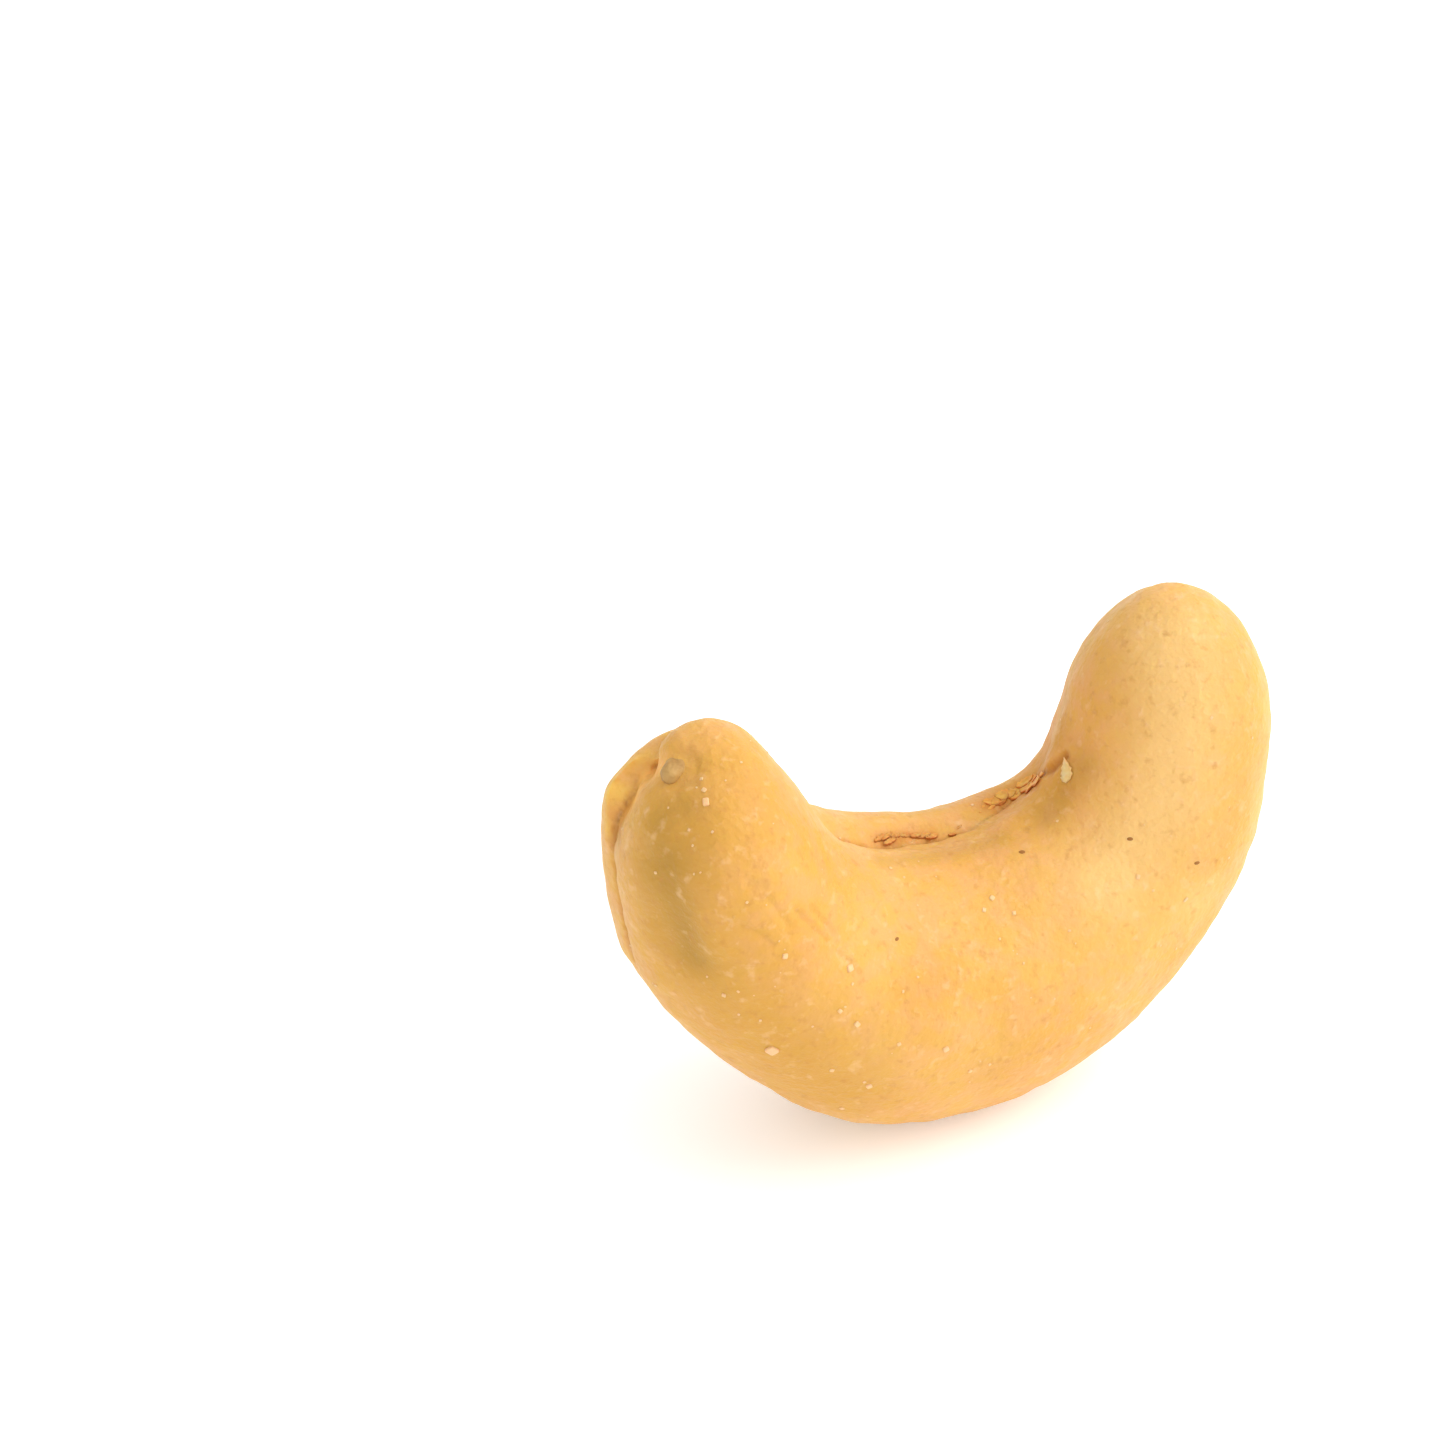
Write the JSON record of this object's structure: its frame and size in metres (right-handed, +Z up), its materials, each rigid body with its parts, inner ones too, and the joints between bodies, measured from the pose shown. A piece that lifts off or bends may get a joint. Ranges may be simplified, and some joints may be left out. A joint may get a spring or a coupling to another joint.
{
  "type": "shelled cashew kernel",
  "caption": "Curled roasted cashew kernel, standing on its curved back, with its halves face to face and the small root tip bared in a notch at one end.",
  "frame": {"origin": "under the middle of the kernel's box, on the surface that it stands on", "axes": "+X along the length, from the lobe that holds the root tip to the bare lobe; +Y through the thickness, away from the half with the notch; +Z up, out of the open side of the curl"},
  "size_m": [0.0268, 0.0114, 0.02],
  "materials": {
    "front_flesh": null,
    "rear_flesh": null,
    "radicle_flesh": null
  },
  "bodies": {
    "root": {"cotyledon_front": "front_flesh", "cotyledon_rear": "rear_flesh", "radicle": "radicle_flesh"}
  },
  "joints": []
}
